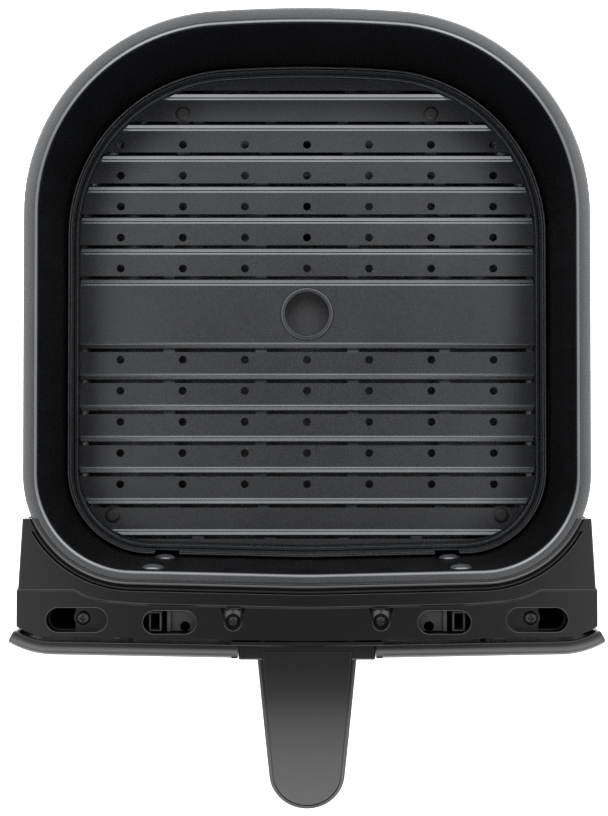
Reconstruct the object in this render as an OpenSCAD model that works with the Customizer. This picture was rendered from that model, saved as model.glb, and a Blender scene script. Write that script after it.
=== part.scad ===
// Air fryer drawer: cooking pan with a lift-out crisper plate, front frame,
// curved front panel and pull handle. Millimetres, +Z up.
// The handle points along -Y and the pan rests on the plane Z = 0.

/* [Pan] */
// Width across the rim flange
rim_w = 278.6; // [274:0.2:284]
// Height of the rim above the table
rim_z = 110; // [106:1:120]
// Distance from the origin back to the rear edge of the rim
rim_back = 198.3; // [194:0.1:202]
// Outside radius of the two rear corners
rear_r = 100; // [92:1:106]
// Outside radius of the two front corners
front_r = 54; // [50:1:56]
// How far the middle of the rear edge stands proud of its corners
rear_bow = 1.4; // [0.6:0.1:2.4]
// Slope of each half of the front edge, in degrees
front_slope = 1.35; // [0.8:0.05:1.8]
// Distance between the front and rear corner centres
corner_gap = 128.4; // [124:0.2:132]
// Sheet steel thickness
sheet = 1.2; // [0.8:0.1:1.4]
// Flat width of the rim flange
flange_w = 5.2; // [4.6:0.1:6]
// Radius between the rim flange and the wall
rim_fillet = 2.2; // [1.8:0.1:2.6]
// Depth of the folded lip outside the rim
lip_h = 4; // [3:0.5:5]
// Inside radius between the wall and the floor
floor_fillet = 10; // [6:1:12]

/* [Wall ribs and rivets] */
// Width of a pressed rib in the wall
rib_w = 12; // [8:1:14]
// Height that a rib stands inward
rib_h = 0.8; // [0.6:0.05:0.8]
// Distance between the ribs of a side wall
side_rib_pitch = 45; // [40:1:50]
// Distance between the ribs of the front wall
front_rib_pitch = 38; // [34:1:40]
// Distance of each rivet from the middle of the front wall
rivet_x = 76.5; // [70:0.5:80]
// Height of the lower rivets
rivet_low_z = 36; // [34:1:40]
// Height of the upper rivets
rivet_high_z = 99; // [95:1:100]

/* [Crisper plate] */
// Height of the top edge of the plate
plate_edge_z = 26; // [24:0.5:27]
// Gap between the plate and the pan wall
plate_gap = 1.15; // [1.15:0.05:1.5]
// Distance between two louvres
louvre_pitch = 17; // [15:0.5:18]
// Louvres on each side of the middle
louvre_rows = 7; // [5:1:7]
// Distance from the plate's middle to its first louvre
louvre_first = 19; // [17:0.5:22]
// Diameter of the lifting hole in the middle
finger_d = 24; // [20:1:26]
// Diameter of a silicone foot
foot_d = 12; // [9:1:14]

/* [Front frame] */
// Half width of the frame at the ends of its ears
ear_x = 139.4; // [139:0.1:140]
// Rear edge of the ears
ear_y = -53.3; // [-56:0.1:-52]
// Half width of the frame just behind its side step
step_x = 141.4; // [141:0.1:142]
// Side step of the frame, and rear end of the lowered front zone
step_y = -88; // [-90:0.5:-86]
// Height of the frame's front zone below the rim
zone_drop = 1.5; // [1:0.1:2]
// Distance of the inner slots from the middle
inner_slot_x = 67.4; // [66:0.1:69]
// Distance of the outer slots from the middle
outer_slot_x = 112.9; // [111:0.1:114]
// Distance of the two frame screws from the middle
screw_x = 36.3; // [35:0.1:38]
// Row of the frame screws
screw_y = -104; // [-105:0.5:-103]

/* [Front panel] */
// Front face of the panel at the middle
panel_y = -122.6; // [-123:0.1:-121]
// Centre distance of the panel's end curves from the middle
panel_cx = 124; // [122:0.5:126]
// Outside radius of the panel's end curves
panel_r = 45; // [42:1:48]
// Slope of each half of the panel, in degrees
panel_slope = 1; // [0.6:0.05:1.3]
// Top of the panel
panel_top = 109.5; // [108:0.5:111]
// Bottom of the panel
panel_bottom = 4; // [3:0.5:6]
// Depth of the panel's top edge, front to back
panel_edge = 7.2; // [6.5:0.1:7.6]

/* [Handle] */
// Half width of the handle at its root
handle_root = 24.6; // [23:0.1:26]
// Radius of the handle's round end
handle_end_r = 18.8; // [17:0.1:20]
// Tip of the handle
handle_tip = -198.3; // [-202:0.1:-194]
// Radius of the arch of the handle's top
arch_r = 250; // [220:5:300]
// Height of the handle's top at its root
handle_z = 107; // [105:0.5:108]
// Half width of the handle's base block
base_x = 33.6; // [32:0.1:35]
// Lower end of the base block
base_low = 66; // [60:1:70]

/* [Hidden] */

eps = 0.01;                                  // overlap of a cut past a face
big = 400;                                   // longer than the whole drawer
arc_steps = 14;                              // points along one corner of an outline
rear_cx = rim_w/2 - rear_r;
rear_cy = rim_back - rear_bow - rear_r;
front_cx = rim_w/2 - front_r;
front_cy = rear_cy - corner_gap;
rear_br = (rear_cx*rear_cx + pow(rear_r + rear_bow, 2) - rear_r*rear_r)/(2*rear_bow);
rear_by = rim_back - rear_br;                // centre of the rear edge's shallow arc
rear_t = asin(rear_cx/(rear_br - rear_r));   // and its half angle
// Centre height of a middle arc of radius m, which two sloping halves join to the corners
function middle_cy(cx, cy, r, m, slope) = (m - r - cx*sin(slope) + cy*cos(slope))/cos(slope);
function half_run(cx, cy, m_cy, slope) = cx*cos(slope) - (m_cy - cy)*sin(slope);
front_mr = 400;                              // middle arc of the pan's front edge
front_my = middle_cy(front_cx, front_cy, front_r, front_mr, front_slope);
front_run = half_run(front_cx, front_cy, front_my, front_slope);
front_edge = front_my - front_mr;            // rim's front edge at the middle
panel_mr = 600;                              // middle arc of the front panel
panel_my = panel_y + panel_mr;
panel_cy = (panel_my*cos(panel_slope) - panel_mr + panel_r + panel_cx*sin(panel_slope))/cos(panel_slope);
panel_run = half_run(panel_cx, panel_cy, panel_my, panel_slope);
// Row of a bowed edge at the distance x from the middle
function bowed_y(x, m_cy, m, slope) = let (j = m*sin(slope))
    abs(x) < j ? m_cy - sqrt(m*m - x*x) : m_cy - m*cos(slope) + (abs(x) - j)*tan(slope);
panel_end = 31;                              // turn of the panel's end curves

wall_in = -(flange_w + rim_fillet);          // wall faces, outward from the rim's edge
wall_out = wall_in + sheet;
wall_x = rim_w/2 + wall_in;
floor_steps = 3;
floor_rim = 12;                              // flat ring that the pan rests on
floor_lift = 0.6;                            // height of the floor's middle above the ring
rib_r = (rib_w*rib_w/4 + rib_h*rib_h)/(2*rib_h);
rib_low = 34;
rib_high = 96;
rivet_d = 5;
rivet_head = 11;

plate_out = wall_in - plate_gap;
plate_t = 1;
plate_y = (rim_back + front_edge)/2 - 1.5;
plate_z = plate_edge_z - 2*plate_t;          // underside of the louvred field
field_g = plate_out - 6.2;                   // where the louvred field begins
louvre_h = 1.4;
slot_cut = 1.7;
foot_row = louvre_first + 5.5*louvre_pitch - 2.5;
foot_front_x = 106;
foot_rear_x = 68;
foot_stem = 4.4;

frame_z = rim_z;
zone_z = rim_z - zone_drop;
frame_t = 2.5;
deck_z = zone_z - frame_t;                   // underside of the frame's deck
skirt_z = deck_z - 8;
groove_z = deck_z + 0.3;                     // floor of the seal's groove
frame_wall = 2.4;
frame_gap = 9.4;                             // frame front behind the panel's face
groove_in = 1.2;
groove_out = 3;
inner_slot_y = -104.1;
outer_slot_y = -102.9;
inner_slot = [25.6, 10.9];
outer_slot = [29.6, 11.5];
head_d = 6.4;
shank_d = 3.4;
seat_z = zone_z - 4;                         // seat of the frame screws
tab_z = seat_z - 4.5;                        // top of the bracket's tabs
pocket_z = zone_z - 8.4;                     // floor of the outer pockets
boss_x = outer_slot_x - 2.2;
shell_low = 6;

base_back = panel_y + 6.9;
base_front = panel_y - 0.1;
trim_back = base_front + 4.2;                // rear end of the inlay, on the base block
end_y = handle_tip + handle_end_r;
arch_y = base_front - 2;
shell_split = 8;                             // depth of the handle's upper shell
lower_r = 548;
handle_t = 20;                               // handle depth at its root
handle_wall = 2.2;
trim_t = 1.2;
trim_inset = 2;                              // handle's edge to the inlay

function arc(cx, cy, r, a0, a1, n, last = 0) =
    [for (i = [0:n - 1 + last]) let (a = a0 + (a1 - a0)*i/n) [cx + r*cos(a), cy + r*sin(a)]];

// The rim's outline, moved outward by g
function outline(g) = concat(
    arc(rear_cx, rear_cy, rear_r + g, 0, 90 - rear_t, arc_steps),
    arc(0, rear_by, rear_br + g, 90 - rear_t, 90 + rear_t, 6),
    arc(-rear_cx, rear_cy, rear_r + g, 90 + rear_t, 180, arc_steps, 1),
    arc(-front_cx, front_cy, front_r + g, 180, 270 - front_slope, arc_steps, 1),
    arc(0, front_my, front_mr + g, 270 - front_slope, 270 + front_slope, 4, 1),
    arc(front_cx, front_cy, front_r + g, 270 + front_slope, 360, arc_steps, 1));

// Half length of a row across the outline at height y, moved outward by g
function half_row(y, g) =
    y > rear_cy ? rear_cx + sqrt(max(0, pow(rear_r + g, 2) - pow(y - rear_cy, 2))) :
    y < front_cy ? front_cx + sqrt(max(0, pow(front_r + g, 2) - pow(y - front_cy, 2))) :
    rim_w/2 + g;

// Turns a section, drawn as [outward, up], through part of an arc. Each end
// runs on by a hair, so that neighbouring lengths join into one solid.
module turn(cx, cy, r, a0, a1, fine = 96) {
    lap = 3/r;
    translate([cx, cy, 0]) rotate([0, 0, a0 - lap])
        rotate_extrude(angle = a1 - a0 + 2*lap, $fn = fine) translate([r, 0]) children();
}

// Carries a section straight, from a point on the edge that faces the angle a
module run(x, y, r, a, length) {
    translate([x + r*cos(a), y + r*sin(a), 0]) rotate([90, 0, a])
        linear_extrude(length) children();
}

// Carries a section along a bowed edge, between its corner arcs
module along_bow(m_cy, m, cx, cy, r, slope, length) {
    turn(0, m_cy, m, 270 - slope, 270 + slope, 960) children();
    run(cx, cy, r, 270 + slope, length) children();
    run(0, m_cy, m, 270 - slope, length) children();
}

module slab(z0, z1) { translate([0, 0, z0]) linear_extrude(z1 - z0) children(); }

// Plate with the rim's outline, moved outward by g
module sheet_of(g, z0, z1) { slab(z0, z1) polygon(outline(g)); }

// Upright wall round the pan, between two such outlines
module band(g0, g1, z0, z1) {
    slab(z0, z1) difference() {
        polygon(outline(g1));
        polygon(outline(g0));
    }
}

// Solid that follows the rim's outline, moved outward by g at each level [g, z]
module loft(levels) {
    n = len(outline(0));
    top = len(levels) - 1;
    polyhedron([for (l = levels) each [for (p = outline(l[0])) [p[0], p[1], l[1]]]],
        concat([[for (i = [0:n - 1]) i]], [[for (i = [n - 1:-1:0]) top*n + i]],
            [for (k = [0:top - 1], i = [0:n - 1]) let (j = (i + 1) % n)
                [k*n + i, (k + 1)*n + i, (k + 1)*n + j, k*n + j]]));
}

// Everything in front of the ears' rear edge
module ear_cut(y = ear_y) { translate([-big/2, y - big, -big/2]) cube([big, big, big]); }

module pair(x) { for (s = [-1, 1]) translate([s*x, 0, 0]) children(); }

module slot_2d(size) {
    r = size[1]/2;
    square([size[0] - size[1], size[1]], center = true);
    for (s = [-1, 1]) translate([s*(size[0]/2 - r), 0]) circle(r = r, $fn = 48);
}

// Screw with its head's seat at the origin, shank along -Z
module screw(d, head, length, head_h = 2.2, drive = 2.6) {
    difference() {
        union() {
            cylinder(d = head, h = head_h, $fn = 36);
            translate([0, 0, -length]) cylinder(d = d, h = length + eps, $fn = 24);
        }
        for (a = [0, 90]) rotate([0, 0, a])
            translate([-drive, -0.5, head_h - 1.2]) cube([2*drive, 1, 2]);
    }
}

// ---- Pan ----

// Levels of the curve between floor and wall, for a cup whose radius there is r
function cup_curve(r) = let (low = sheet + floor_fillet, deep = wall_in - floor_fillet)
    arc(deep, low, r, -90, 0, floor_steps, 1);

// A pressed rib on a wall whose inner face is the plane x = 0
module wall_rib() {
    intersection() {
        translate([rib_h - rib_r, 0, 0]) union() {
            translate([0, 0, rib_low]) cylinder(r = rib_r, h = rib_high - rib_low, $fn = 96);
            translate([0, 0, rib_high]) sphere(r = rib_r, $fn = 96);
        }
        translate([-sheet/2, -rib_w, rib_low]) cube([sheet/2 + 2*rib_h, 2*rib_w, rim_z - rib_low]);
    }
}

// Places a piece on the front wall at a distance x from its middle, facing -Y
module on_front_wall(x, g) {
    translate([x, bowed_y(x, front_my, front_mr + g, front_slope), 0])
        rotate([0, 0, sign(x)*front_slope]) children();
}

module each_rivet(g) {
    for (x = [-rivet_x, rivet_x], z = [rivet_low_z, rivet_high_z])
        on_front_wall(x, g) translate([0, 0, z]) rotate([-90, 0, 0]) children();
}

module pan() {
    ring = wall_in - floor_fillet - floor_rim;
    color("#2b2c2e") difference() {
        union() {
            difference() {
                union() {
                    loft(concat(cup_curve(floor_fillet + sheet),
                        [[wall_out, rim_z - rim_fillet - sheet/2], [-flange_w - sheet/2, rim_z - sheet],
                         [-flange_w - sheet/2, rim_z]]));
                    sheet_of(0, rim_z - sheet, rim_z);
                    band(-sheet, 0, rim_z - lip_h, rim_z - sheet/2);
                }
                loft(concat(cup_curve(floor_fillet),
                    [[wall_in, rim_z - rim_fillet], [-flange_w, rim_z + eps], [-flange_w, rim_z + 1]]));
            }
            sheet_of(ring, sheet/2, floor_lift + sheet);
            for (s = [-1, 1], i = [-1:1])
                translate([s*wall_x, 30 + i*side_rib_pitch, 0])
                    rotate([0, 0, s > 0 ? 180 : 0]) wall_rib();
            for (i = [-1:1])
                on_front_wall(i*front_rib_pitch, wall_in) rotate([0, 0, 90]) wall_rib();
        }
        sheet_of(ring - sheet, -1, floor_lift);
        each_rivet(wall_in) translate([0, 0, -4]) cylinder(d = rivet_d, h = 8, $fn = 32);
    }
}

// Domed rivets that hold the bracket to the front wall
module wall_rivets() {
    dome = 2;
    dome_r = (rivet_head*rivet_head/4 + dome*dome)/(2*dome);
    color("#57585a") each_rivet(wall_in) {
        intersection() {
            translate([0, 0, dome - dome_r]) sphere(r = dome_r, $fn = 96);
            cylinder(d = rivet_head + 1, h = dome + 1, $fn = 48);
        }
        translate([0, 0, -sheet - 2.1]) cylinder(d = rivet_d, h = sheet + 2.1 + eps, $fn = 32);
        translate([0, 0, -sheet - 3.6]) cylinder(d = 8, h = 1.5, $fn = 32);
    }
}

module pan_bracket() {
    foot = wall_out + 0.1;
    color("#8d9093") difference() {
        union() {
            intersection() {
                band(foot, foot + 2, rivet_low_z - 12, tab_z);
                translate([-front_cx, -200, 0]) cube([2*front_cx, 200, rim_z]);
            }
            pair(screw_x) translate([-9, screw_y - 4.4, tab_z - 2]) cube([18, 26.4, 2]);
        }
        translate([-32, -100, 44]) cube([64, 30, 36]);
        pair(screw_x) translate([0, screw_y, tab_z - 4]) cylinder(d = shank_d, h = 6, $fn = 32);
        each_rivet(wall_in) translate([0, 0, -8]) cylinder(d = rivet_d, h = 9, $fn = 32);
    }
}

// ---- Crisper plate ----

// Pressed sheet: upturned edge, moat, ridge and raised field
module plate_sheet() {
    low = plate_edge_z - 5;
    moat = plate_out - 3;
    ridge = plate_out - 5.2;
    ridge_z = low + 2.6;
    difference() {
        union() {
            sheet_of(plate_out, low, low + plate_t);
            band(plate_out - 0.9, plate_out, low, plate_edge_z);
            sheet_of(moat, low, ridge_z);
            sheet_of(ridge, low, plate_z + plate_t);
        }
        sheet_of(moat - plate_t, low - 1, ridge_z - plate_t);
        sheet_of(ridge - plate_t, low - 1, plate_z);
    }
}

// One row of raised louvres on the side of the middle given by s
module louvre_row(s, i, cut) {
    y = plate_y + s*(louvre_first + i*louvre_pitch);
    half = half_row(y, field_g - 4);
    top = plate_z + plate_t;
    if (cut) {
        count = max(2, 2*floor(half/44) + 1);
        pitch = (2*half + 6)/count;
        for (k = [0:count - 1])
            translate([-half - 3 + (k + 0.5)*pitch, y + s*slot_cut/2, top])
                cube([pitch - 6, slot_cut, 6], center = true);
    } else {
        translate([-half, y, top - eps]) rotate([90, 0, 90]) linear_extrude(2*half)
            polygon([[0, 0], [0, louvre_h], [-s*1.2, louvre_h], [-s*4, 0]]);
    }
}

module crisper_plate() {
    color("#3a3b3d") difference() {
        union() {
            plate_sheet();
            for (s = [-1, 1], i = [0:louvre_rows - 1]) louvre_row(s, i, false);
            translate([0, plate_y, plate_z]) cylinder(d = finger_d + 5, h = plate_t + 1.2, $fn = 64);
        }
        for (s = [-1, 1], i = [0:louvre_rows - 1]) louvre_row(s, i, true);
        translate([0, plate_y, 0]) cylinder(d = finger_d, h = 40, $fn = 64);
        // notches that let the plate pass the rivets
        for (x = [-rivet_x, rivet_x]) on_front_wall(x, plate_out)
            translate([-rivet_head/2 - 1.2, -1, 0]) cube([rivet_head + 2.4, 3, 60]);
        for (s = [-1, 1]) {
            translate([s*foot_front_x, plate_y - foot_row, 0]) cylinder(d = foot_stem, h = 40, $fn = 32);
            translate([s*foot_rear_x, plate_y + foot_row, 0]) cylinder(d = foot_stem, h = 40, $fn = 32);
        }
        for (s = [-1, 1], i = [0:min(4, louvre_rows - 2)], k = [-3:3])
            translate([k*34, plate_y + s*(louvre_first + (i + 0.5)*louvre_pitch - 2.5), 0])
                cylinder(d = 4.4, h = 40, $fn = 24);
    }
}

// Silicone foot pressed through the plate
module plate_foot(x, y) {
    top = plate_z + plate_t;
    low = floor_lift + sheet + 0.05;
    color("#1b1b1c") translate([x, y, 0]) {
        translate([0, 0, low]) cylinder(d1 = foot_d - 1.5, d2 = foot_d, h = plate_z - low, $fn = 48);
        translate([0, 0, plate_z - eps]) cylinder(d = foot_stem, h = plate_t + 2*eps, $fn = 32);
        translate([0, 0, top]) cylinder(d1 = 8.4, d2 = 5.6, h = 1.6, $fn = 48);
    }
}

module plate_foot_front_left() { plate_foot(-foot_front_x, plate_y - foot_row); }
module plate_foot_front_right() { plate_foot(foot_front_x, plate_y - foot_row); }
module plate_foot_rear_left() { plate_foot(-foot_rear_x, plate_y + foot_row); }
module plate_foot_rear_right() { plate_foot(foot_rear_x, plate_y + foot_row); }

// ---- Front frame ----

// Plan of the frame and its shell, drawn inward by o
function frame_side(o) = concat(
    [[ear_x - o, ear_y], [step_x - o, step_y + 1.2], [step_x + 0.9 - o, step_y - 0.6]],
    arc(panel_cx, panel_cy, panel_r - frame_gap - o, -90 + panel_end, -90 + panel_slope, 8, 1),
    arc(0, panel_my, panel_mr - frame_gap - o, -90 + panel_slope, -90, 3, 0));
function mirrored(p) = [for (i = [len(p) - 1:-1:0]) [-p[i][0], p[i][1]]];
function frame_plan(o) = concat(frame_side(o),
    [[0, panel_y + frame_gap + o]], mirrored(frame_side(o)));

// The lowered front zone, in front of the step line
step_gap = 10.4;                             // from the rim's edge to the step line
step_bend = [[28.6, 1.2], [24.5, 3.4], [20.5, 4.8], [16.5, 6], [11.6, 6.7], [4.1, 7.3]];
module zone_2d() {
    bend = [[big, step_y - 1.2], for (p = step_bend) [front_cx + p[0], step_y - p[1]]];
    polygon(concat(bend,
        [for (x = [80:-10:-80]) [x, bowed_y(x, front_my, front_mr + step_gap, front_slope)]],
        mirrored(bend), [[-big, -big], [big, -big]]));
}

// Collar over the rim's flange, and the groove outside it
module collar() {
    top = rim_z + 1.9;
    difference() {
        union() {
            sheet_of(groove_out + 1.2, groove_z - 2, groove_z);
            loft([[groove_in, groove_z - 1], [groove_in, top - 1.1], [0, top - 0.3], [-1.5, top]]);
        }
        sheet_of(0.2, groove_z - 3, rim_z + 0.1);
        loft([[-2.4, rim_z], [-2.4, top - 0.7], [-1.9, top + eps], [-1.9, top + 1]]);
    }
}

module front_frame() {
    tip = screw_y - 1;
    scoop_y = step_y - 9;
    color("#242526") difference() {
        union() {
            difference() {
                union() {
                    slab(deck_z, frame_z) polygon(frame_plan(0));
                    slab(skirt_z, deck_z + eps) difference() {
                        polygon(frame_plan(0));
                        polygon(frame_plan(frame_wall));
                    }
                }
                sheet_of(groove_out, skirt_z - 1, frame_z + 1);
                slab(zone_z, frame_z + 1) zone_2d();
            }
            intersection() {
                collar();
                ear_cut();
            }
            pair(screw_x) {
                translate([0, screw_y, tab_z]) cylinder(d = 12, h = deck_z - tab_z + 1, $fn = 48);
                translate([-8, screw_y, deck_z - 3]) cube([16, 9, 4]);
            }
            pair(outer_slot_x) translate([0, outer_slot_y, pocket_z - 2])
                linear_extrude(deck_z - pocket_z + 2 + eps) difference() {
                    slot_2d([outer_slot[0] + 4, outer_slot[1] + 4]);
                    slot_2d(outer_slot);
                }
            for (s = [-1, 1]) translate([s*(outer_slot_x - 4.6), outer_slot_y, pocket_z - 1])
                cube([22, outer_slot[1] + 1, 2], center = true);
        }
        pair(inner_slot_x) translate([0, inner_slot_y, deck_z - 1])
            linear_extrude(frame_t + 3) slot_2d(inner_slot);
        pair(outer_slot_x) translate([0, outer_slot_y, deck_z - 1])
            linear_extrude(frame_t + 3) slot_2d(outer_slot);
        pair(screw_x) {
            translate([0, screw_y, seat_z]) cylinder(d = 8.2, h = 10, $fn = 48);
            translate([0, screw_y, tab_z - 1]) cylinder(d = shank_d + 0.6, h = 10, $fn = 32);
            translate([0, scoop_y, zone_z + 3]) rotate([90, 0, 0])
                cylinder(r1 = 6.8, r2 = 4.9, h = scoop_y - tip, $fn = 64);
        }
        pair(boss_x) translate([0, outer_slot_y, pocket_z - 3])
            cylinder(d = shank_d + 0.6, h = 6, $fn = 32);
    }
}

// Silicone strip that lies in the groove round the pan
module frame_seal() {
    color("#0e0e0f") intersection() {
        band(groove_in + 0.15, groove_in + 1.65, groove_z, groove_z + 1.8);
        ear_cut(ear_y - 3);
    }
}

module frame_shell() {
    color("#202122") difference() {
        union() {
            intersection() {
                band(0.5, 0.5 + frame_wall, shell_low, deck_z - 2.2);
                ear_cut();
            }
            difference() {
                union() {
                    slab(shell_low, skirt_z - 0.1) difference() {
                        polygon(frame_plan(0));
                        polygon(frame_plan(frame_wall));
                    }
                    slab(shell_low, shell_low + frame_wall) polygon(frame_plan(0));
                }
                sheet_of(1.6, shell_low - 1, rim_z);
            }
            for (s = [-1, 1]) {
                // catch post and rib behind the inner slot
                translate([s*74.7 - 3.2, -109, shell_low]) cube([6.4, 10, deck_z - 1 - shell_low]);
                translate([s*68.1 - 1, -109.3, shell_low]) cube([2, 13, deck_z - 3 - shell_low]);
                difference() {
                    translate([s*60.9 - 6.2, -109.3, deck_z - 7]) cube([12.4, 22, 2]);
                    translate([s*60.3, -106.9, deck_z - 8]) cylinder(d = 5, h = 4, $fn = 32);
                }
                translate([s*boss_x, outer_slot_y, shell_low])
                    cylinder(d = 10, h = pocket_z - 2.1 - shell_low, $fn = 48);
            }
        }
        pair(boss_x) translate([0, outer_slot_y, pocket_z - 22]) cylinder(d = shank_d, h = 30, $fn = 32);
        each_base_screw() translate([0, 0, -4]) cylinder(d = shank_d + 0.6, h = 8, $fn = 32);
        each_panel_screw() translate([0, 0, -4]) cylinder(d = shank_d + 0.6, h = 8, $fn = 32);
        // windows that let the bracket's tabs through
        pair(screw_x) translate([-9.4, -92, tab_z - 2.4]) cube([18.8, 10, 8]);
    }
}

module frame_screws() {
    color("#17181a") pair(screw_x) translate([0, screw_y, seat_z])
        screw(shank_d, head_d, seat_z - tab_z + 6);
}

module shell_screws() {
    color("#17181a") pair(boss_x) translate([0, outer_slot_y, pocket_z])
        screw(shank_d, 7, 14);
}

// ---- Front panel ----

module panel_section() {
    t = 2.6;
    round_r = 5;
    low_r = 6;
    polygon(concat(
        arc(-low_r, panel_bottom + low_r, low_r, -90, 0, 6, 1),
        arc(-round_r, panel_top - round_r, round_r, 0, 90, 6, 1),
        [[-panel_edge, panel_top], [-panel_edge, panel_top - t]],
        arc(-round_r, panel_top - round_r, round_r - t, 90, 0, 4, 1),
        arc(-low_r, panel_bottom + low_r, low_r - t, 0, -90, 4, 1),
        [[-panel_edge, panel_bottom + t], [-panel_edge, panel_bottom]]));
}

module along_panel() {
    along_bow(panel_my, panel_mr, panel_cx, panel_cy, panel_r, panel_slope, panel_run) children();
    turn(-panel_cx, panel_cy, panel_r, 270 - panel_end, 270 - panel_slope) children();
    turn(panel_cx, panel_cy, panel_r, 270 + panel_slope, 270 + panel_end) children();
}

// Wall that closes the hollow behind one end of the panel
module panel_end_wall(s) {
    a = 270 + s*(panel_end - 1.5);
    turn(s*panel_cx, panel_cy, panel_r, a - 1.5, a + 1.5)
        translate([-panel_edge + 0.2, panel_bottom + 0.5])
            square([panel_edge - 1.2, panel_top - panel_bottom - 1]);
}

// Screws through the shell's front wall, seats at the origin and shanks along -Y
wall_inset = frame_gap + frame_wall;
seat_gap = 0.2;                              // keeps a flat head clear of the bowed wall
module on_shell_wall(x, z) {
    translate([x, bowed_y(x, panel_my, panel_mr - wall_inset, panel_slope) + seat_gap, z])
        rotate([-90, 0, 0]) children();
}
module each_base_screw() {
    for (x = [-22, 22], z = [base_low + 8, base_low + 28]) on_shell_wall(x, z) children();
}
module each_panel_screw() { for (x = [-96, 96], z = [24, 84]) on_shell_wall(x, z) children(); }

module front_panel() {
    notch = base_x + 0.4;
    color("#1f2021") difference() {
        union() {
            difference() {
                along_panel() panel_section();
                translate([-notch, panel_y - 10, base_low - 0.5]) cube([2*notch, 30, 60]);
            }
            translate([-notch - 3, base_back + 0.1, base_low - 4])
                cube([2*notch + 6, 1.9, panel_top - base_low + 2]);
            for (s = [-1, 1]) translate([s*(notch + 1.5) - 1.5, panel_y + 1, base_low - 3.5])
                cube([3, base_back - panel_y - 0.8, panel_top - base_low + 1.5]);
            translate([-notch - 3, panel_y + 1, base_low - 3.5])
                cube([2*notch + 6, base_back - panel_y - 0.8, 3]);
            each_panel_screw() translate([0, 0, -10.2]) cylinder(d = 8, h = 7.5, $fn = 36);
            for (s = [-1, 1]) panel_end_wall(s);
        }
        each_base_screw() translate([0, 0, -8]) cylinder(d = shank_d + 0.6, h = 10, $fn = 32);
        each_panel_screw() translate([0, 0, -6.2]) cylinder(d = shank_d, h = 4, $fn = 32);
    }
}

module panel_screws() {
    color("#9a9da0") each_panel_screw() screw(shank_d, 7, 6);
}

// ---- Handle ----

// Plan of the handle's tongue, drawn inward by o, from the row y0 forward
function tongue(o, y0) =
    let (h = handle_root - o, r = handle_end_r - o, d = base_front - end_y,
         a = atan2(d, h) - acos(r/sqrt(h*h + d*d)), w = h - (y0 - base_front)*tan(a))
    concat([[w, y0]], arc(0, end_y, r, a, -180 - a, 24, 1), [[-w, y0]]);

// Solid under the arched top, lowered by t
module under_arch(t) {
    translate([-60, arch_y, handle_z - arch_r]) rotate([0, 90, 0])
        cylinder(r = arch_r - t, h = 120, $fn = 720);
}

// Solid above the handle's underside, raised by t
module below_handle(t) {
    translate([-60, arch_y, handle_z - handle_t - lower_r]) rotate([0, 90, 0])
        cylinder(r = lower_r + t, h = 120, $fn = 1440);
}

module tongue_slab(o, y0, z0 = 60) { slab(z0, handle_z + 5) polygon(tongue(o, y0)); }

boss_seat = 2;                               // seat of the shell screws above the underside
// Height of the handle's underside at the row y
function handle_low(y) = handle_z - handle_t - lower_r + sqrt(lower_r*lower_r - pow(y - arch_y, 2));
boss_rows = [-142, -172];
module each_handle_boss() { for (y = boss_rows) translate([0, y, handle_low(y)]) children(); }

module handle_upper() {
    root = base_front - 0.9;
    color("#222324") difference() {
        union() {
            difference() {
                intersection() {
                    tongue_slab(0, base_front + 1);
                    under_arch(0);
                }
                under_arch(shell_split);
                intersection() {
                    tongue_slab(handle_wall, root);
                    under_arch(3.4);
                }
            }
            translate([-base_x, base_front, base_low])
                cube([2*base_x, base_back - base_front, handle_z - base_low]);
            intersection() {
                each_handle_boss() translate([0, 0, 4.6]) cylinder(d = 7, h = 20, $fn = 36);
                under_arch(3);
            }
        }
        difference() {
            tongue_slab(trim_inset - 0.2, trim_back + 0.2, 90);
            under_arch(trim_t + 0.1);
        }
        each_handle_boss() cylinder(d = 2.8, h = 13, $fn = 24);
        each_base_screw() translate([0, 0, -11.4]) cylinder(d = shank_d, h = 11.4, $fn = 32);
    }
}

module handle_panel() {
    color("#3b3c3d") difference() {
        intersection() {
            tongue_slab(trim_inset, trim_back, 90);
            under_arch(0);
        }
        under_arch(trim_t);
    }
}

module handle_lower() {
    color("#1d1e1f") difference() {
        union() {
            difference() {
                intersection() {
                    tongue_slab(0, base_front - 0.1);
                    under_arch(shell_split + 0.1);
                }
                below_handle(0);
                difference() {
                    tongue_slab(handle_wall, base_front - 2.4);
                    below_handle(handle_wall);
                }
            }
            intersection() {
                each_handle_boss() translate([0, 0, -2]) cylinder(d = 9, h = 6.4, $fn = 36);
                difference() { tongue_slab(0, base_front - 0.1); below_handle(0.5); }
            }
        }
        each_handle_boss() {
            translate([0, 0, -5]) cylinder(d = 3.4, h = 15, $fn = 32);
            translate([0, 0, -5]) cylinder(d = 6.6, h = 5 + boss_seat, $fn = 36);
        }
    }
}

module handle_shell_screws() {
    color("#2a2b2d") each_handle_boss() translate([0, 0, boss_seat]) mirror([0, 0, 1])
        screw(2.8, 6, 10, 1.8, 2.2);
}

module handle_base_screws() {
    color("#9a9da0") each_base_screw() screw(shank_d, 7, 11);
}

pan();
wall_rivets();
pan_bracket();
crisper_plate();
plate_foot_front_left();
plate_foot_front_right();
plate_foot_rear_left();
plate_foot_rear_right();
front_frame();
frame_seal();
frame_shell();
frame_screws();
shell_screws();
front_panel();
panel_screws();
handle_upper();
handle_panel();
handle_lower();
handle_shell_screws();
handle_base_screws();
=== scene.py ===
import math

import bmesh
import bpy
from mathutils import Matrix, Vector


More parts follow.
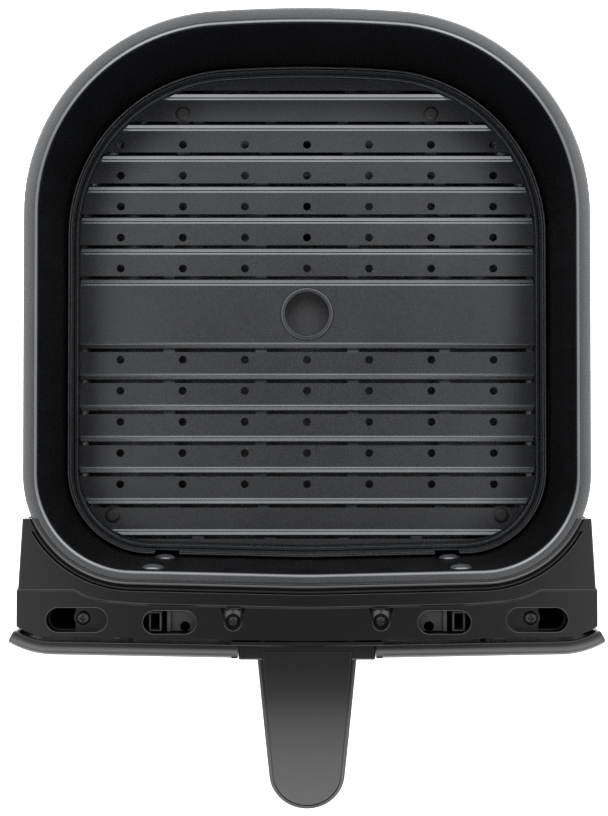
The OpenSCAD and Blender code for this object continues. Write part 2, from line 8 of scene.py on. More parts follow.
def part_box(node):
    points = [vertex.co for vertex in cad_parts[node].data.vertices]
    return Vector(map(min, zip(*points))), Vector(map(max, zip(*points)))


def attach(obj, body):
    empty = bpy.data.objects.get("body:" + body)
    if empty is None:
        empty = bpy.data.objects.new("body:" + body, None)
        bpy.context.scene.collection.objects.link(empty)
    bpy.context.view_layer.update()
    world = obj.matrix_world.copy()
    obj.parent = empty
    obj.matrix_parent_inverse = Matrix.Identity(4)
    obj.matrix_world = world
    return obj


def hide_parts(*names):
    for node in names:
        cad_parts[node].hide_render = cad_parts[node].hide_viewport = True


# Drawer of an air fryer: non-stick pan, lift-out crisper plate, moulded front and handle.
# Sizes are millimetres in the frame's own axes: handle toward -Y, +Z up, pan on Z = 0.

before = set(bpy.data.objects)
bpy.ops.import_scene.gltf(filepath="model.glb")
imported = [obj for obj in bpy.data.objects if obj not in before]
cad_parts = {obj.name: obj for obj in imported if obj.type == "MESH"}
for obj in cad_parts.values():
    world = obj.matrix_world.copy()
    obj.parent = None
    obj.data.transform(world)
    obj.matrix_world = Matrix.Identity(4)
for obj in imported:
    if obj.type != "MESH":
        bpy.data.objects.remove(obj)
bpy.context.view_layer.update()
mm = 0.001


def nodeBox(node):
    low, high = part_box(node)
    return low / mm, high / mm


# ---- mesh helpers ----

def vertsOf(geom):
    return [g for g in geom if isinstance(g, bmesh.types.BMVert)]


def edgesOf(geom):
    return [g for g in geom if isinstance(g, bmesh.types.BMEdge)]


def openEdges(bm):
    return [e for e in bm.edges if e.is_boundary]


def drawLine(bm, points, closed=False):
    # points are (x, y, z), or (x, y, z, round) where the corner is rounded
    before = set(bm.edges)
    verts = [bm.verts.new(p[:3]) for p in points]
    for pair in zip(verts, verts[1:] + verts[:1] if closed else verts[1:]):
        bm.edges.new(pair)
    for vert, point in zip(verts, points):
        if len(point) > 3:
            bmesh.ops.bevel(bm, geom=[vert], offset=point[3], offset_type="OFFSET",
                            segments=3 + int(point[3] / 2), profile=0.5, affect="VERTICES",
                            material=-1, clamp_overlap=False)
    edges = [e for e in bm.edges if e not in before]
    return edges + list({v for e in edges for v in e.verts})


def moved(bm, geom, matrix):
    bmesh.ops.transform(bm, matrix=matrix, verts=vertsOf(geom))
    return geom


def sweep(bm, geom, heading, moves):
    # carries a section, or one vertex, that faces the heading (degrees from +X) along its moves
    for kind, *values in moves:
        if kind == "turn":
            centre, degrees, steps = values
            made = bmesh.ops.spin(bm, geom=geom, cent=(*centre, 0), axis=(0, 0, 1), dvec=(0, 0, 0),
                                  angle=math.radians(degrees), steps=steps, use_merge=False,
                                  use_duplicate=False)["geom_last"]
            geom = vertsOf(made) + edgesOf(made)
            heading += degrees
            continue
        ahead = Vector((-math.sin(math.radians(heading)), math.cos(math.radians(heading)), 0))
        for length in values[0]:
            if edgesOf(geom):
                made = bmesh.ops.extrude_edge_only(bm, edges=edgesOf(geom))["geom"]
            else:
                made = bmesh.ops.extrude_vert_indiv(bm, verts=vertsOf(geom))["verts"]
            geom = vertsOf(made) + edgesOf(made)
            bmesh.ops.translate(bm, vec=ahead * length, verts=vertsOf(geom))
    return geom


def closeUp(bm, seam=0.01):
    bmesh.ops.remove_doubles(bm, verts=bm.verts[:], dist=seam)
    bmesh.ops.holes_fill(bm, edges=openEdges(bm), sides=0)
    bmesh.ops.recalc_face_normals(bm, faces=bm.faces[:])
    return bm


def trim(bm, point, normal):
    # removes what lies on the side that the normal points to, and closes the cut
    bmesh.ops.bisect_plane(bm, geom=bm.verts[:] + bm.edges[:] + bm.faces[:], dist=0.001,
                           plane_co=point, plane_no=normal, clear_outer=True)
    bmesh.ops.holes_fill(bm, edges=openEdges(bm), sides=0)
    bmesh.ops.recalc_face_normals(bm, faces=bm.faces[:])


def lathe(points, steps=36, place=Matrix()):
    # points are (radius, height) or (radius, height, round), turned about Z
    bm = bmesh.new()
    geom = drawLine(bm, [(p[0], 0, *p[1:]) for p in points])
    bmesh.ops.spin(bm, geom=geom, cent=(0, 0, 0), axis=(0, 0, 1), dvec=(0, 0, 0),
                   angle=math.tau, steps=steps, use_merge=True, use_duplicate=False)
    closeUp(bm, 0.001)
    bmesh.ops.transform(bm, matrix=place, verts=bm.verts[:])
    return bm


def block(low, high, rounding=0, segments=3):
    bm = bmesh.new()
    bmesh.ops.create_cube(bm, size=1)
    size = Vector(high) - Vector(low)
    bmesh.ops.scale(bm, vec=size, verts=bm.verts[:])
    bmesh.ops.translate(bm, vec=(Vector(low) + Vector(high)) / 2, verts=bm.verts[:])
    if rounding:
        bmesh.ops.bevel(bm, geom=bm.edges[:], offset=rounding, offset_type="OFFSET",
                        segments=segments, profile=0.5, affect="EDGES", material=-1)
    return bm


def tempObject(bm):
    mesh = bpy.data.meshes.new("temp")
    bm.to_mesh(mesh)
    bm.free()
    obj = bpy.data.objects.new("temp", mesh)
    bpy.context.collection.objects.link(obj)
    return obj


def joined(*parts):
    bm = bmesh.new()
    for part in parts:
        mesh = bpy.data.meshes.new("temp")
        part.to_mesh(mesh)
        part.free()
        bm.from_mesh(mesh)
        bpy.data.meshes.remove(mesh)
    return bm


def copyOf(bm, matrix=Matrix()):
    other = bm.copy()
    bmesh.ops.transform(other, matrix=matrix, verts=other.verts[:])
    if matrix.determinant() < 0:
        bmesh.ops.reverse_faces(other, faces=other.faces[:])
    return other


def pairOf(bm):
    return joined(copyOf(bm, Matrix.Scale(-1, 4, (1, 0, 0))), bm)


def combine(base, tools, operation):
    body = tempObject(base)
    helpers = [tempObject(tool) for tool in tools]
    for helper in helpers:
        step = body.modifiers.new("combine", "BOOLEAN")
        step.operation = operation
        step.solver = "EXACT"
        step.object = helper
    result = bmesh.new()
    result.from_mesh(body.evaluated_get(bpy.context.evaluated_depsgraph_get()).to_mesh())
    for obj in [body, *helpers]:
        mesh = obj.data
        bpy.data.objects.remove(obj)
        bpy.data.meshes.remove(mesh)
    return result


def finishPiece(bm, name, material, body, nodes=(), sharp=32):
    bmesh.ops.remove_doubles(bm, verts=bm.verts[:], dist=0.002)
    bmesh.ops.dissolve_degenerate(bm, edges=bm.edges[:], dist=0.001)
    bmesh.ops.scale(bm, vec=(mm, mm, mm), verts=bm.verts[:])
    mesh = bpy.data.meshes.new(name)
    bm.to_mesh(mesh)
    bm.free()
    mesh.shade_smooth()
    mesh.set_sharp_from_angle(angle=math.radians(sharp))
    piece = bpy.data.objects.new(name, mesh)
    bpy.context.collection.objects.link(piece)
    mesh.materials.append(material)
    even = piece.modifiers.new("evenShading", "WEIGHTED_NORMAL")
    even.keep_sharp = True
    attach(piece, body)
    if nodes:
        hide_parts(*nodes)


# ---- materials ----

def fromHex(code):
    # sRGB hex to linear colour
    values = [int(code[i:i + 2], 16) / 255 for i in (1, 3, 5)]
    return (*[v / 12.92 if v <= 0.04045 else ((v + 0.055) / 1.055) ** 2.4 for v in values], 1)


def addNode(tree, kind, settings=None, links=None):
    node = tree.nodes.new(kind)
    for key, value in (settings or {}).items():
        if isinstance(key, int) or key in node.inputs:
            node.inputs[key].default_value = value
        else:
            setattr(node, key, value)
    for key, source in (links or {}).items():
        tree.links.new(source, node.inputs[key])
    return node


def newMaterial(name):
    material = bpy.data.materials.new(name)
    material.use_nodes = True
    tree = material.node_tree
    shader = tree.nodes["Principled BSDF"]
    place = addNode(tree, "ShaderNodeTexCoord").outputs["Object"]
    return material, tree, shader, place


def perMm(size):
    # noise scale whose features are about this many millimetres across
    return 1 / (size * mm)


def texturedFinish(name, spec):
    # a body colour with fine grain, a slow change of shade and a slightly uneven surface
    material, tree, shader, place = newMaterial(name)
    grain = addNode(tree, "ShaderNodeTexNoise", {"Scale": perMm(spec["grain"]), "Detail": 3.0,
                                                 "Roughness": 0.6}, {"Vector": place})
    cloud = addNode(tree, "ShaderNodeTexNoise", {"Scale": perMm(spec["cloud"]), "Detail": 2.0},
                    {"Vector": place})
    shade = addNode(tree, "ShaderNodeMixRGB", {"Color1": fromHex(spec["dark"]),
                                               "Color2": fromHex(spec["light"])},
                    {"Fac": grain.outputs["Fac"]})
    drift = addNode(tree, "ShaderNodeMapRange", {"From Min": 0.3, "From Max": 0.7,
                                                 "To Min": 1 - spec["drift"],
                                                 "To Max": 1 + spec["drift"]},
                    {"Value": cloud.outputs["Fac"]})
    colour = addNode(tree, "ShaderNodeVectorMath", {"operation": "SCALE"},
                     {0: shade.outputs["Color"], "Scale": drift.outputs["Result"]})
    rough = addNode(tree, "ShaderNodeMapRange", {"From Min": 0.25, "From Max": 0.75,
                                                 "To Min": spec["rough"] - spec["roughSpread"],
                                                 "To Max": spec["rough"] + spec["roughSpread"]},
                    {"Value": grain.outputs["Fac"]})
    relief = addNode(tree, "ShaderNodeBump", {"Strength": spec["relief"],
                                              "Distance": spec["depth"] * mm},
                     {"Height": grain.outputs["Fac"]})
    tree.links.new(colour.outputs["Vector"], shader.inputs["Base Color"])
    tree.links.new(rough.outputs["Result"], shader.inputs["Roughness"])
    tree.links.new(relief.outputs["Normal"], shader.inputs["Normal"])
    shader.inputs["Metallic"].default_value = spec.get("metallic", 0)
    shader.inputs["IOR"].default_value = spec.get("ior", 1.5)
    edge = spec.get("edgeTint", 1)      # how much a coat still reflects at a grazing angle
    shader.inputs["Specular Tint"].default_value = (edge, edge, edge, 1)
    return material


# Sprayed and baked non-stick coat on drawn steel: dark grey, soft metallic sheen, orange peel.
# Its flakes are under 0.1 mm and are drawn at 0.5 mm, so that they show.
panCoat = texturedFinish("bakedNonStickCoat", {
    "dark": "#5e5f61", "light": "#6e6f71", "grain": 0.5, "cloud": 40, "drift": 0.05,
    "rough": 0.26, "roughSpread": 0.04, "relief": 0.1, "depth": 0.01, "metallic": 1.0, "ior": 1.45,
    "edgeTint": 0.2})

# The same coat on the pressed plate, its colour painted darker than the pan's as painted shade from the
# pan's walls; same roughness, a little more reflection at a grazing angle.
plateCoatWithPaintedShade = texturedFinish("bakedNonStickCoatOnPlatePaintedShade", {
    "dark": "#505153", "light": "#5e5f61", "grain": 0.6, "cloud": 30, "drift": 0.06,
    "rough": 0.26, "roughSpread": 0.04, "relief": 0.1, "depth": 0.01, "metallic": 1.0, "ior": 1.45,
    "edgeTint": 0.3})

# Rivet heads are coated with the pan, thinner at their edges.
rivetCoat = texturedFinish("coatedRivetSteel", {
    "dark": "#5a5c5f", "light": "#74767a", "grain": 0.5, "cloud": 8, "drift": 0.08,
    "rough": 0.36, "roughSpread": 0.05, "relief": 0.2, "depth": 0.02, "metallic": 0.8, "ior": 1.45})

# Moulded black polypropylene-type plastics with the fine spark-eroded texture of the mould,
# whose grain is about 0.1 mm and is drawn at 0.45 mm.
framePlastic = texturedFinish("mouldedBlackPlastic", {
    "dark": "#060607", "light": "#0c0c0d", "grain": 0.45, "cloud": 50, "drift": 0.08,
    "rough": 0.19, "roughSpread": 0.03, "relief": 0.1, "depth": 0.01})
shellPlastic = texturedFinish("mouldedBlackPlasticMatt", {
    "dark": "#09090a", "light": "#101011", "grain": 0.6, "cloud": 50, "drift": 0.08,
    "rough": 0.55, "roughSpread": 0.05, "relief": 0.25, "depth": 0.03})
panelPlastic = texturedFinish("mouldedBlackPlasticSatin", {
    "dark": "#060607", "light": "#0c0c0d", "grain": 0.45, "cloud": 60, "drift": 0.06,
    "rough": 0.21, "roughSpread": 0.03, "relief": 0.1, "depth": 0.01})
handlePlastic = texturedFinish("mouldedBlackPlasticGrip", {
    "dark": "#070708", "light": "#0d0d0e", "grain": 0.45, "cloud": 40, "drift": 0.06,
    "rough": 0.22, "roughSpread": 0.03, "relief": 0.1, "depth": 0.01})
trimPlastic = texturedFinish("mouldedGreyInlay", {
    "dark": "#09090a", "light": "#0f0f10", "grain": 0.4, "cloud": 40, "drift": 0.05,
    "rough": 0.22, "roughSpread": 0.03, "relief": 0.1, "depth": 0.01})

# Pressed food-grade silicone rubber: matt black with a faint bloom.
silicone = texturedFinish("pressedSilicone", {
    "dark": "#0e0e0f", "light": "#19191a", "grain": 0.35, "cloud": 20, "drift": 0.1,
    "rough": 0.62, "roughSpread": 0.06, "relief": 0.2, "depth": 0.02, "ior": 1.41})

# Stamped steel bracket, bright zinc screws and black-oxide screws.
bracketSteel = texturedFinish("stampedZincSteel", {
    "dark": "#9a9c9e", "light": "#b4b6b8", "grain": 0.8, "cloud": 15, "drift": 0.08,
    "rough": 0.36, "roughSpread": 0.08, "relief": 0.1, "depth": 0.01, "metallic": 1.0})
zincSteel = texturedFinish("zincPlatedSteel", {
    "dark": "#a6a8aa", "light": "#c2c4c6", "grain": 0.5, "cloud": 6, "drift": 0.06,
    "rough": 0.30, "roughSpread": 0.06, "relief": 0.1, "depth": 0.01, "metallic": 1.0})
blackOxide = texturedFinish("blackOxideSteel", {
    "dark": "#2c2c2e", "light": "#3c3c3e", "grain": 0.4, "cloud": 6, "drift": 0.1,
    "rough": 0.36, "roughSpread": 0.06, "relief": 0.12, "depth": 0.01, "metallic": 0.85})
print("materials made")

# ---- the rim's outline, which the pan, plate, frame and seal all follow ----

panHigh = nodeBox("pan")[1]
rim = {
    "half": panHigh.x,          # half width
    "back": panHigh.y,          # rear edge at the middle
    "top": panHigh.z,           # height of the flange
    "rearRound": 100,           # outside radius of the rear corners
    "frontRound": 54,           # outside radius of the front corners
    "rearBow": 1.4,             # how far the middle of the rear edge stands proud
    "frontSlope": 1.35,         # slope of each half of the front edge, degrees
    "frontBow": 400,            # radius of the middle of the front edge
    "cornerGap": 128.4,         # between the front and rear corner centres
}
rearX = rim["half"] - rim["rearRound"]
rearY = rim["back"] - rim["rearBow"] - rim["rearRound"]
frontX = rim["half"] - rim["frontRound"]
frontY = rearY - rim["cornerGap"]
rearBowRound = (rearX ** 2 + (rim["rearRound"] + rim["rearBow"]) ** 2
                - rim["rearRound"] ** 2) / (2 * rim["rearBow"])
rearBowY = rim["back"] - rearBowRound
rearTurn = math.degrees(math.asin(rearX / (rearBowRound - rim["rearRound"])))


def sinOf(degrees):
    return math.sin(math.radians(degrees))


def cosOf(degrees):
    return math.cos(math.radians(degrees))


def bowCentreY(centreX, centreY, rounding, bow, slope):
    # row of the centre of a middle arc, joined to the corners by two sloping halves
    return (bow - rounding - centreX * sinOf(slope) + centreY * cosOf(slope)) / cosOf(slope)


def bowRun(centreX, centreY, middleY, slope):
    return centreX * cosOf(slope) - (middleY - centreY) * sinOf(slope)


def bowedY(x, middleY, bow, slope):
    reach = bow * sinOf(slope)
    if abs(x) < reach:
        return middleY - math.sqrt(bow ** 2 - x ** 2)
    return middleY - bow * cosOf(slope) + (abs(x) - reach) * math.tan(math.radians(slope))


frontBowY = bowCentreY(frontX, frontY, rim["frontRound"], rim["frontBow"], rim["frontSlope"])
frontRun = bowRun(frontX, frontY, frontBowY, rim["frontSlope"])


def frontMoves(runs=None):
    # from the left side, round the front to the right side
    runs = runs or [frontRun]
    corner = 90 - rim["frontSlope"]
    return [("turn", (-frontX, frontY), corner, 24), ("run", runs),
            ("turn", (0, frontBowY), 2 * rim["frontSlope"], 12), ("run", runs[::-1]),
            ("turn", (frontX, frontY), corner, 24)]


def rimMoves(sideRuns=None, frontRuns=None):
    # all the way round, from the front end of the right side
    sideRuns = sideRuns or [rim["cornerGap"]]
    corner = 90 - rearTurn
    return [("run", sideRuns), ("turn", (rearX, rearY), corner, 32),
            ("turn", (0, rearBowY), 2 * rearTurn, 8), ("turn", (-rearX, rearY), corner, 32),
            ("run", sideRuns[::-1]), *frontMoves(frontRuns)]


def rimOffset(x, y):
    # how far a point lies outside the rim's outline
    x = abs(x)
    if y > rearY and x > rearX * (y - rearBowY) / (rearY - rearBowY):
        return math.hypot(x - rearX, y - rearY) - rim["rearRound"]
    if y > rearY:
        return math.hypot(x, y - rearBowY) - rearBowRound
    if y < frontY and x > frontX:
        return math.hypot(x - frontX, y - frontY) - rim["frontRound"]
    if y < frontY - rim["frontRound"] / 2:
        past = bowedY(x, frontBowY, rim["frontBow"], rim["frontSlope"]) - y
        return past * cosOf(rim["frontSlope"])
    return x - rim["half"]


def rimSolid(levels, moves=None):
    # solid that follows the outline, [outward, height] at each level
    bm = bmesh.new()
    geom = drawLine(bm, [(rim["half"] + p[0], frontY, *p[1:]) for p in levels])
    sweep(bm, geom, 0, moves or rimMoves())
    return closeUp(bm)


def frontStrip(section, endY):
    # closed section carried round the front of the outline, cut off square at endY
    bm = bmesh.new()
    geom = drawLine(bm, [(-rim["half"] - p[0], frontY, *p[1:]) for p in section], closed=True)
    sweep(bm, geom, 180, frontMoves())
    trim(bm, (0, endY, 0), (0, 1, 0))
    return bm


# ---- pan ----

pan = {
    "sheet": 1.2, "flange": 5.2, "flangeRound": 2.2, "lip": 4, "lipRound": 1.0,
    "floorRound": 10, "restRing": 12, "floorLift": 0.6, "liftRamp": 3.6,
    "ribHalf": 6, "ribHeight": 0.8, "ribLow": 40, "ribHigh": 96,   # where a rib's round ends begin
    "sideRibs": (-15, 30, 75), "frontRibs": (-38, 0, 38),
}
wallIn = -(pan["flange"] + pan["flangeRound"])
wallOut = wallIn + pan["sheet"]
ribStations = [pan["ribHalf"] * k / 4 for k in range(-4, 5)]


def stops(centres, start, end):
    # lengths between the start, the stations of each rib and the end
    rows = [start] + [c + s for c in centres for s in ribStations] + [end]
    return [b - a for a, b in zip(rows, rows[1:])]


def ribLift(along, z):
    past = max(0, pan["ribLow"] - z, z - pan["ribHigh"])
    distance = math.hypot(along, past) / pan["ribHalf"]
    return pan["ribHeight"] * max(0, 1 - distance ** 2)


def buildPan():
    top = rim["top"]
    sheet = pan["sheet"]
    ring = wallIn - pan["floorRound"] - pan["restRing"]
    middle = ring - pan["liftRamp"]
    ends = [pan["ribHalf"] * k / 4 for k in range(0, 5)]
    rows = [pan["ribLow"] - e for e in ends[::-1]] + [pan["ribHigh"] + e for e in ends]
    section = [(middle, sheet + pan["floorLift"]), (ring, sheet), (wallIn, sheet, pan["floorRound"])]
    section += [(wallIn, z) for z in rows]
    section += [(wallIn, top, pan["flangeRound"]), (0, top, pan["lipRound"]), (0, top - pan["lip"]),
                (-sheet, top - pan["lip"]), (-sheet, top - sheet), (wallOut, top - sheet, 1.0)]
    section += [(wallOut, z) for z in rows[::-1]]
    section += [(wallOut, 0, pan["floorRound"] + sheet), (ring, 0), (middle, pan["floorLift"])]
    reach = frontX + (rim["frontRound"] + wallIn) * sinOf(rim["frontSlope"])
    frontRibs = [(reach + c) / cosOf(rim["frontSlope"]) for c in pan["frontRibs"][:1]]
    bm = rimSolid(section, rimMoves(stops(pan["sideRibs"], frontY, rearY),
                                    stops(frontRibs, 0, frontRun)))
    for vert in bm.verts:
        x, y, z = vert.co
        if not wallIn - 0.3 < rimOffset(x, y) < wallOut + 0.3 or z > rim["top"] - pan["lip"]:
            continue
        if abs(x) > frontX + 20 and y > frontY:
            vert.co.x -= math.copysign(max(ribLift(y - c, z) for c in pan["sideRibs"]), x)
        elif abs(x) < frontX and y < frontY:
            vert.co.y += max(ribLift(x - c, z) for c in pan["frontRibs"])
    return bm


finishPiece(buildPan(), "cookingPan", panCoat, "drawer", ["pan"])
print("pan made")

rivet = {
    "x": 76.5, "rows": (36, 99), "head": 5.5, "dome": 2, "shank": 2.5,
    "grip": 3.3, "tail": 4, "tailHeight": 1.5,
}


def onFrontWall(x, z, outward):
    # a place on the pan's front wall, with its axis pointing into the pan
    y = bowedY(x, frontBowY, rim["frontBow"] + outward, rim["frontSlope"])
    turn = Matrix.Rotation(math.radians(math.copysign(rim["frontSlope"], x)), 4, "Z")
    return Matrix.Translation((x, y, z)) @ turn @ Matrix.Rotation(math.radians(-90), 4, "X")


def oneRivet():
    head = rivet["head"]
    bm = lathe([(0, head), (head, head, head * 0.99), (head, 0), (rivet["shank"], 0),
                (rivet["shank"], -rivet["grip"]), (rivet["tail"], -rivet["grip"]),
                (rivet["tail"], -rivet["grip"] - rivet["tailHeight"], 0.5),
                (0, -rivet["grip"] - rivet["tailHeight"])])
    for vert in bm.verts:
        if vert.co.z > 0:
            vert.co.z *= rivet["dome"] / head
    return bm


rivets = joined(*[copyOf(oneRivet(), onFrontWall(s * rivet["x"], z, wallIn))
                  for s in (-1, 1) for z in rivet["rows"]])
finishPiece(rivets, "wallRivets", rivetCoat, "drawer", ["wall_rivets"])

# ---- crisper plate ----

plate = {
    "edge": -8.55,              # outer edge, outward of the rim
    "edgeTop": 26, "bottom": 21, "fieldTop": 25, "sheet": 1.0,
    "middleY": 53.95,
    "louvreFirst": 19, "louvrePitch": 17, "louvres": 7,
    "slot": 1.8, "bridge": 6, "slotLength": 44,
    # rise of a louvre at each distance from its slot, toward the middle of the plate
    "louvreRise": [(0, 1.05), (0.25, 1.3), (0.6, 1.3), (2.0, 0.42), (2.45, 0.36), (2.65, 0.36),
                   (3.35, 0)],
    "rowSide": 1.0,             # louvres fade out over this width at the field's edge
    "hole": 2.2, "holePitch": 34, "holeBands": 5, "holeShift": 2.5,
    "finger": 12, "fingerRim": 2.5, "fingerRimHeight": 1.2,
    "notchHalf": 6.7, "notchDepth": 1,
}
fieldEdge = plate["edge"] - 6.2


def louvreRise(y):
    # height of the pressed louvres above the flat field at this row
    out = abs(y - plate["middleY"]) - plate["louvreFirst"]
    k = round(out / plate["louvrePitch"])
    if not 0 <= k < plate["louvres"]:
        return 0
    inside = k * plate["louvrePitch"] - out
    steps = plate["louvreRise"]
    if inside < -0.01 or inside > steps[-1][0]:
        return 0
    for (a, low), (b, high) in zip(steps, steps[1:]):
        if inside <= b:
            return low + (high - low) * (max(inside, 0) - a) / (b - a)
    return 0


def halfRow(y, outward):
    # half length of a row across the outline at y, moved outward
    if y > rearY:
        return rearX + math.sqrt(max(0, (rim["rearRound"] + outward) ** 2 - (y - rearY) ** 2))
    if y < frontY:
        return frontX + math.sqrt(max(0, (rim["frontRound"] + outward) ** 2 - (y - frontY) ** 2))
    return rim["half"] + outward


def plateCutters():
    low, high = plate["bottom"] - 4, plate["edgeTop"] + 4
    tools = []
    for side in (-1, 1):
        for i in range(plate["louvres"]):
            y = plate["middleY"] + side * (plate["louvreFirst"] + i * plate["louvrePitch"])
            half = halfRow(y, fieldEdge - 2)
            count = max(2, 2 * int(half / plate["slotLength"]) + 1)
            pitch = (2 * half + plate["bridge"]) / count
            for k in range(count):
                x = -half + k * pitch
                near, far = sorted((y, y + side * plate["slot"]))
                tools.append(block((x, near, low), (x + pitch - plate["bridge"], far, high)))
        for i in range(plate["holeBands"]):
            y = plate["middleY"] + side * (plate["louvreFirst"] + (i + 0.5) * plate["louvrePitch"]
                                           - plate["holeShift"])
            for k in range(-3, 4):
                tools.append(lathe([(0, low), (plate["hole"], low), (plate["hole"], high), (0, high)],
                                   16, Matrix.Translation((k * plate["holePitch"], y, 0))))
        tools.append(block((-plate["notchHalf"], -plate["notchDepth"], low),
                           (plate["notchHalf"], 2, high + 5)))
        bmesh.ops.transform(tools[-1], verts=tools[-1].verts[:], matrix=(
            onFrontWall(side * rivet["x"], 0, plate["edge"]) @ Matrix.Rotation(math.radians(90), 4, "X")))
    tools.append(lathe([(0, low), (plate["finger"], low), (plate["finger"], high), (0, high)], 48,
                       Matrix.Translation((0, plate["middleY"], 0))))
    return joined(*tools)


def buildPlate():
    edge, top, low, sheet = plate["edge"], plate["fieldTop"], plate["bottom"], plate["sheet"]
    rimTop = plate["edgeTop"]
    section = [(fieldEdge - 4, top), (fieldEdge - plate["rowSide"], top), (fieldEdge, top, 0.4),
               (fieldEdge + 0.15, top - 2), (fieldEdge + 0.9, top - 2),
               (fieldEdge + 1.1, top - 1.4, 0.2),
               (edge - 3.2, top - 2.4, 0.5), (edge - 2.9, low + sheet), (edge - 0.9, low + sheet, 0.4),
               (edge - 0.9, rimTop, 0.3), (edge, rimTop, 0.3), (edge, low, 0.6), (edge - 3.9, low),
               (edge - 4.1, top - 3.4), (fieldEdge - 1.0, top - 3), (fieldEdge - 1.15, top - sheet),
               (fieldEdge - 4, top - sheet)]
    bm = rimSolid(section)
    bm = combine(bm, [plateCutters()], "DIFFERENCE")
    rows = set()
    for side in (-1, 1):
        for i in range(plate["louvres"]):
            for d, rise in [(-plate["slot"], 0), *plate["louvreRise"]]:
                rows.add(plate["middleY"] + side * (plate["louvreFirst"] + i * plate["louvrePitch"] - d))
    for y in sorted(rows):
        bmesh.ops.bisect_plane(bm, geom=bm.verts[:] + bm.edges[:] + bm.faces[:], dist=0.002,
                               plane_co=(0, y, 0), plane_no=(0, 1, 0))
    for vert in bm.verts:
        inside = fieldEdge - rimOffset(vert.co.x, vert.co.y)
        if inside > 0.01 and vert.co.z > top - sheet - 0.1:
            vert.co.z += louvreRise(vert.co.y) * min(1, inside / plate["rowSide"])
    ring = plate["finger"] + plate["fingerRim"]
    rimRing = lathe([(plate["finger"], top - sheet),
                     (plate["finger"], top + plate["fingerRimHeight"], 0.5),
                     (ring, top + plate["fingerRimHeight"], 0.9), (ring, top - sheet / 2),
                     (plate["finger"], top - sheet)], 64,
                    Matrix.Translation((0, plate["middleY"], 0)))
    return joined(bm, rimRing)


# the plate's coat carries painted shade: its colour is darker than the pan's own coat
finishPiece(buildPlate(), "crisperPlate", plateCoatWithPaintedShade, "crisper",
                         ["crisper_plate"], sharp=20)
print("crisper plate made")

foot = {"low": 5.25, "high": 6, "stem": 2.2, "capLow": 4.2, "capHigh": 2.8, "capHeight": 1.6}
for node in ("plate_foot_front_left", "plate_foot_front_right",
             "plate_foot_rear_left", "plate_foot_rear_right"):
    low, high = nodeBox(node)
    under, over = plate["fieldTop"] - plate["sheet"], plate["fieldTop"]
    bm = lathe([(0, low.z), (foot["low"], low.z, 0.6), (foot["high"], under, 0.6),
                (foot["stem"], under), (foot["stem"], over), (foot["capLow"], over),
                (foot["capHigh"], over + foot["capHeight"], 0.6),
                (0, over + foot["capHeight"])], 40,
               Matrix.Translation(((low.x + high.x) / 2, (low.y + high.y) / 2, 0)))
    finishPiece(bm, node.title().replace("_", ""), silicone, "crisper", [node])
print("plate feet made")

# ---- front frame ----

front = {
    "earX": 139.4, "earY": -53.3, "stepX": 141.4, "stepY": -88,
    "panelX": 124, "panelRound": 45, "panelSlope": 1, "panelBow": 600, "panelEnd": 31,
    "frameGap": 9.4,            # frame's front behind the panel's face
    "zoneDrop": 1.5, "deck": 2.5, "skirt": 8, "wall": 2.4,
    "grooveIn": 1.2, "grooveOut": 3, "grooveEnd": -59.4, "collarHeight": 1.9,
    "innerSlot": (67.4, -104.1, 25.6, 10.9), "outerSlot": (112.9, -102.9, 29.6, 11.5),
    "lip": 0.6, "screwX": 36.3, "screwY": -104, "counterbore": 3.95,
    "scoopBack": -97, "scoopFront": -105, "scoopWide": 6.8, "scoopNarrow": 4.9, "scoopAxis": 3,
    "edgeRound": 0.9,
    "stepGap": 10.4,            # from the rim's edge to the step line
    # bend of the step line near each end, beyond the corner's centre and in front of stepY
    "stepBend": [(28.6, 1.2), (24.5, 3.4), (20.5, 4.8), (16.5, 6), (11.6, 6.7), (4.1, 7.3)],
    "openFrom": 114.5,          # the outer slot's floor is open beyond this
    "seatDrop": 4, "tabDrop": 4.5, "pocketDrop": 8.4, "boss": 6, "bossFloor": 2, "pocketRim": 4,
    "screwHole": 2, "shellScrewBack": 2.2,      # from the outer slot's centre to its screw
}
zoneTop = rim["top"] - front["zoneDrop"]
deckLow = zoneTop - front["deck"]
skirtLow = deckLow - front["skirt"]
grooveFloor = deckLow + 0.3
seat = zoneTop - front["seatDrop"]
tabTop = seat - front["tabDrop"]
pocketFloor = zoneTop - front["pocketDrop"]
shellScrewX = front["outerSlot"][0] - front["shellScrewBack"]
screwHole, boss = front["screwHole"], front["boss"]
handleLow, handleHigh = nodeBox("handle_upper")
panelFace = nodeBox("front_panel")[0].y
panelBowY = panelFace + front["panelBow"]
panelEndY = (panelBowY * cosOf(front["panelSlope"]) - front["panelBow"] + front["panelRound"]
             + front["panelX"] * sinOf(front["panelSlope"])) / cosOf(front["panelSlope"])
panelRun = bowRun(front["panelX"], panelEndY, panelBowY, front["panelSlope"])


def panelMoves(ends):
    corner = ends - front["panelSlope"]
    return [("turn", (-front["panelX"], panelEndY), corner, 14), ("run", [panelRun / 6] * 6),
            ("turn", (0, panelBowY), 2 * front["panelSlope"], 8), ("run", [panelRun / 6] * 6),
            ("turn", (front["panelX"], panelEndY), corner, 14)]


def panelStart(ends, radius):
    angle = 270 - ends
    return (Matrix.Translation((-front["panelX"] + radius * cosOf(angle),
                                panelEndY + radius * sinOf(angle), 0))
            @ Matrix.Rotation(math.radians(angle), 4, "Z")), angle


